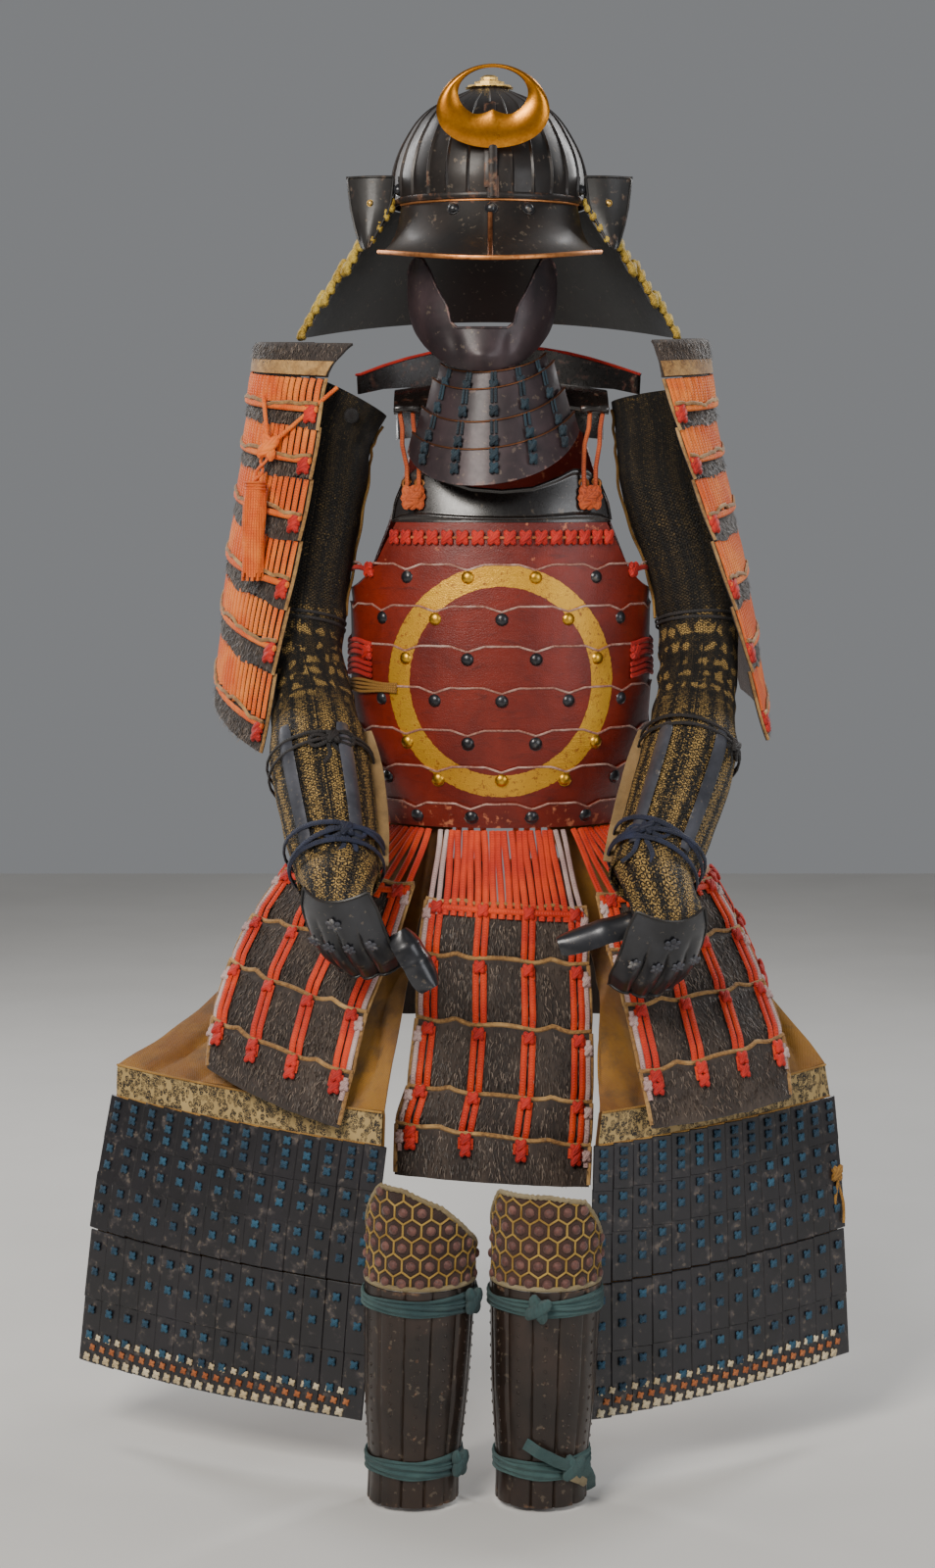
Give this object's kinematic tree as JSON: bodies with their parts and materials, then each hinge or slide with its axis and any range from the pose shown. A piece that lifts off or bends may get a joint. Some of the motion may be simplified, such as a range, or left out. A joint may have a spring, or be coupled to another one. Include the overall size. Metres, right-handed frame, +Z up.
{
  "type": "suit of armour",
  "caption": "Seated hollow suit of laced lamellar armour: ribbed helmet with crescent crest, half mask, cuirass, hanging lame skirt, armoured sleeves, thigh and shin guards",
  "frame": {"origin": "On the shoulder line, between the two shoulder straps, where the wearer's shoulders carry the suit", "axes": "+X to the wearer's left, +Y to the wearer's back, +Z up; the front faces -Y"},
  "size_m": [0.8391, 0.6238, 1.4885],
  "materials": {
    "black_iron": "satin",
    "gilt_copper": "satin",
    "russet_iron": "satin",
    "red_leather": "gloss",
    "black_lacquer": "gloss",
    "orange_silk": "matte",
    "fur_brown": "matte",
    "mail_cloth": "matte",
    "ochre_cloth": "matte",
    "scale_leather": "satin",
    "patterned_leather": "satin",
    "quilted_pad": "matte",
    "teal_cloth": "matte"
  },
  "bodies": {
    "root": {"helmet_bowl": "black_iron", "helmet_visor": "black_iron", "turn_back_right": "black_iron", "turn_back_left": "black_iron", "neck_lame_1": "black_iron", "neck_lame_2": "black_iron", "neck_lame_3": "black_iron", "neck_lame_4": "black_iron", "splint_outer_right": "black_iron", "splint_inner_right": "black_iron", "splint_outer_left": "black_iron", "splint_inner_left": "black_iron", "hand_plate_right": "black_iron", "hand_plate_left": "black_iron", "thumb_plate_right": "black_iron", "thumb_plate_left": "black_iron", "helmet_crest": "gilt_copper", "crown_finial": "gilt_copper", "face_guard": "russet_iron", "throat_lame_1": "russet_iron", "throat_lame_2": "russet_iron", "throat_lame_3": "russet_iron", "throat_lame_4": "russet_iron", "shin_guard_right": "russet_iron", "shin_guard_left": "russet_iron", "cuirass_front": "red_leather", "cuirass_back": "red_leather", "chest_yoke": "black_lacquer", "collar": "black_lacquer", "shoulder_strap_right": "black_lacquer", "shoulder_strap_left": "black_lacquer", "strap_cord_right": "orange_silk", "strap_cord_left": "orange_silk", "shoulder_guard_right": "orange_silk", "shoulder_guard_left": "orange_silk", "tasset_front": "fur_brown", "tasset_front_right": "fur_brown", "tasset_front_left": "fur_brown", "tasset_side_right": "fur_brown", "tasset_side_left": "fur_brown", "tasset_back_right": "fur_brown", "tasset_back_left": "fur_brown", "guard_cap_right": "fur_brown", "guard_cap_left": "fur_brown", "sleeve_right": "mail_cloth", "sleeve_left": "mail_cloth", "hand_pad_right": "mail_cloth", "hand_pad_left": "mail_cloth", "thigh_cloth_right": "ochre_cloth", "thigh_cloth_left": "ochre_cloth", "thigh_scales_right": "scale_leather", "thigh_scales_left": "scale_leather", "thigh_band_right": "patterned_leather", "thigh_band_left": "patterned_leather", "knee_pad_right": "quilted_pad", "knee_pad_left": "quilted_pad", "shin_tie_upper_right": "teal_cloth", "shin_tie_lower_right": "teal_cloth", "shin_tie_upper_left": "teal_cloth", "shin_tie_lower_left": "teal_cloth"}
  },
  "joints": []
}
